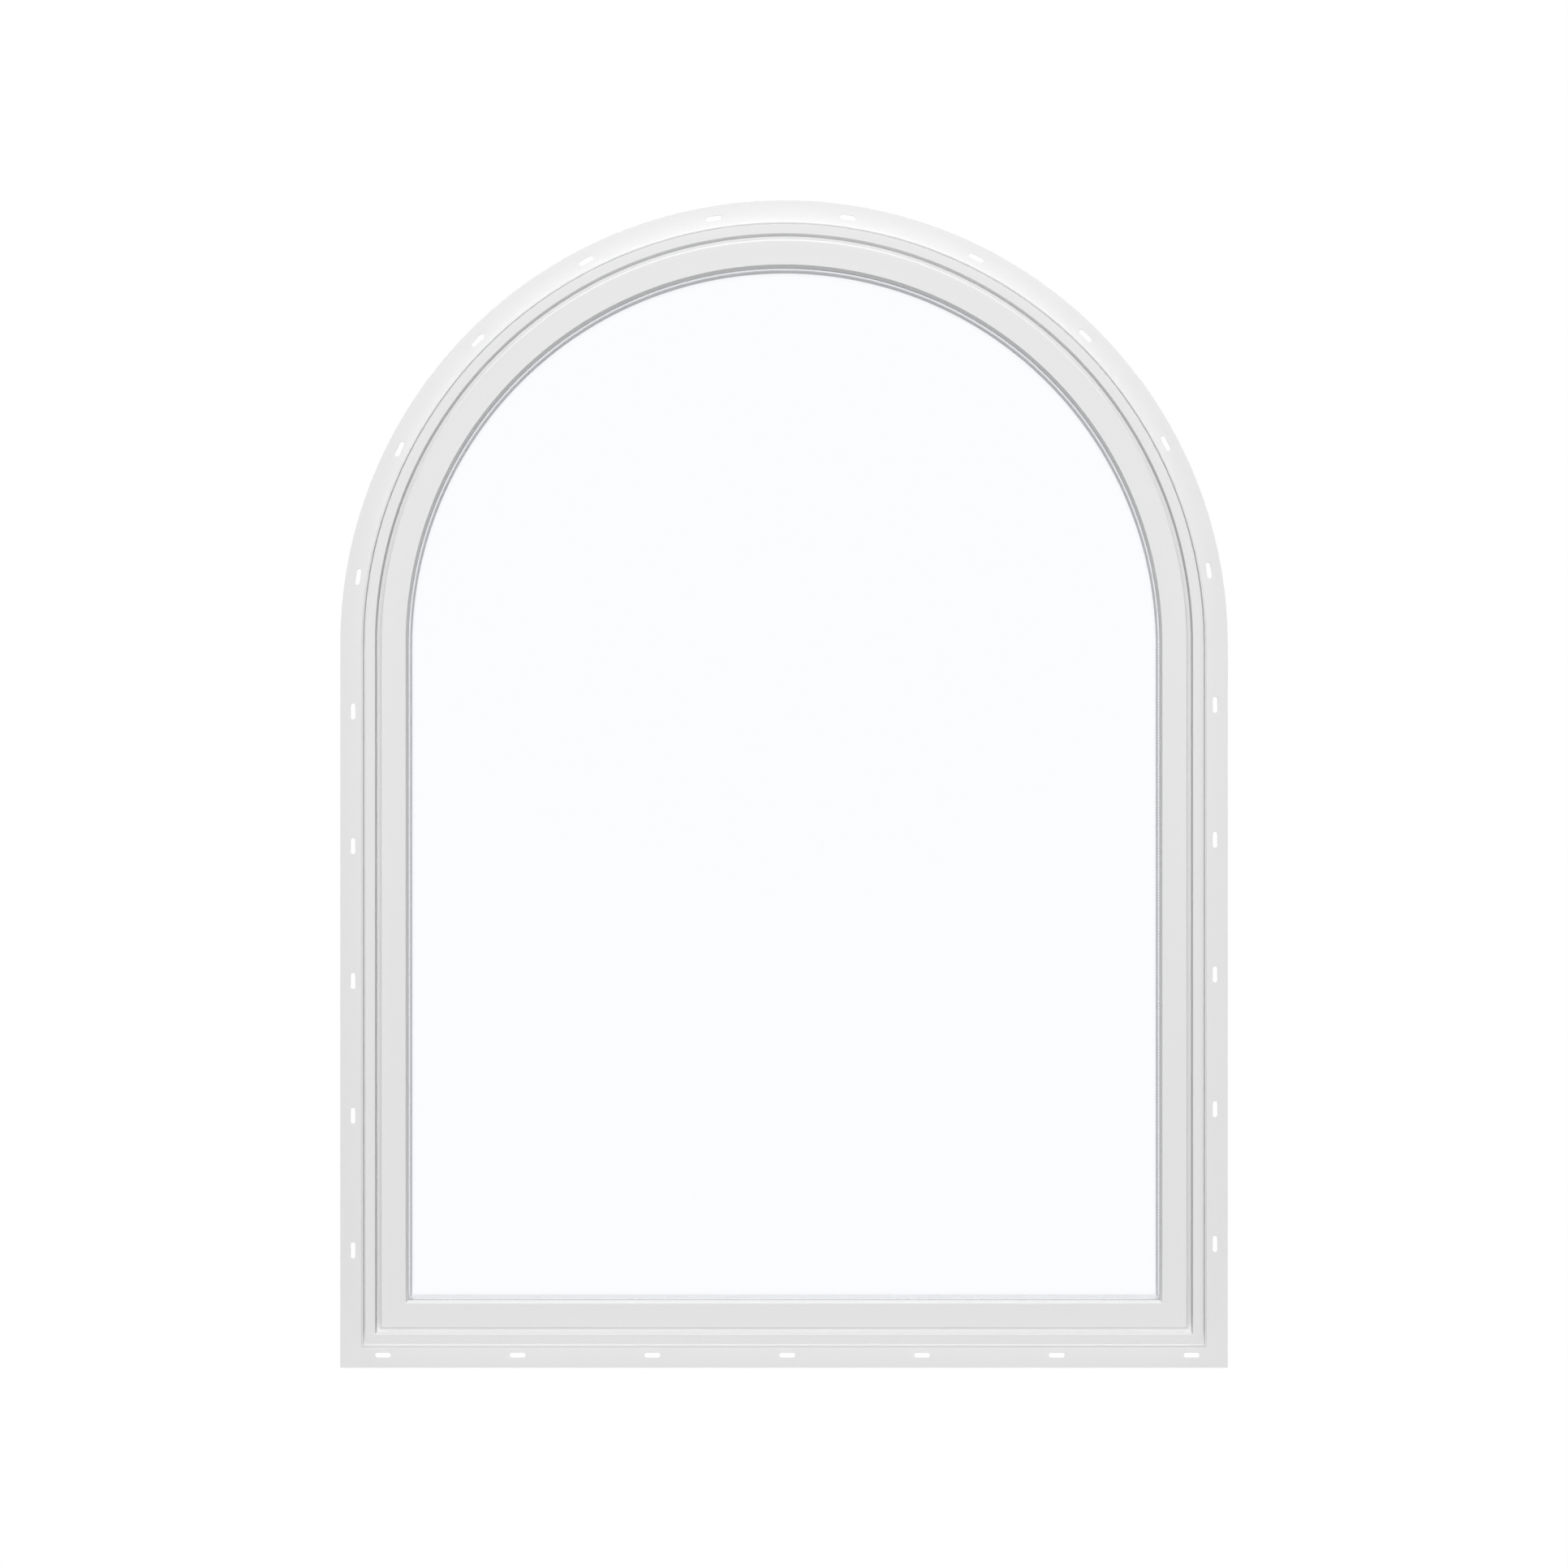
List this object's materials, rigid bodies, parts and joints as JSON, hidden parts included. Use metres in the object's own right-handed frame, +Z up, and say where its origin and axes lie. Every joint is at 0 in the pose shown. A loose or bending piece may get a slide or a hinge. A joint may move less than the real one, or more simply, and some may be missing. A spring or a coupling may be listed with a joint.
{
  "type": "arched top window frame",
  "caption": "White vinyl picture window with a half-round head, a slotted nailing fin all round, a fixed sash and a sealed double glass unit.",
  "frame": {"origin": "middle of the sill, on the nailing fin's back face, at the underside of the frame without its fin", "axes": "+Z up, +Y into the wall out of the fin's back face, +X to the right seen from outdoors"},
  "size_m": [0.9652, 0.0825, 1.2699],
  "materials": {
    "vinyl": "white extruded vinyl with a soft satin sheen",
    "glass": "clear float glass",
    "spacer_metal": "mill finish rolled strip",
    "black_seal": "matt black rubber and sealant",
    "grey_seal": "matt grey foam tape and gasket"
  },
  "bodies": {
    "root": {"frame_head": "vinyl", "frame_jamb_left": "vinyl", "frame_jamb_right": "vinyl", "frame_sill": "vinyl", "nailing_fin_head": "vinyl", "nailing_fin_left": "vinyl", "nailing_fin_right": "vinyl", "nailing_fin_sill": "vinyl", "sash_head": "vinyl", "sash_stile_left": "vinyl", "sash_stile_right": "vinyl", "sash_bottom_rail": "vinyl", "glazing_bead_head": "vinyl", "glazing_bead_left": "vinyl", "glazing_bead_right": "vinyl", "glazing_bead_bottom": "vinyl", "glass_outdoor": "glass", "glass_indoor": "glass", "spacer_head": "spacer_metal", "spacer_left": "spacer_metal", "spacer_right": "spacer_metal", "spacer_bottom": "spacer_metal", "splice_key_left": "black_seal", "splice_key_right": "black_seal", "corner_key_left": "black_seal", "corner_key_right": "black_seal", "edge_sealant": "black_seal", "weatherstrip_outer": "black_seal", "weatherstrip_inner": "black_seal", "setting_block_left": "black_seal", "setting_block_right": "black_seal", "glazing_tape": "grey_seal", "bead_gasket": "grey_seal"}
  },
  "joints": []
}
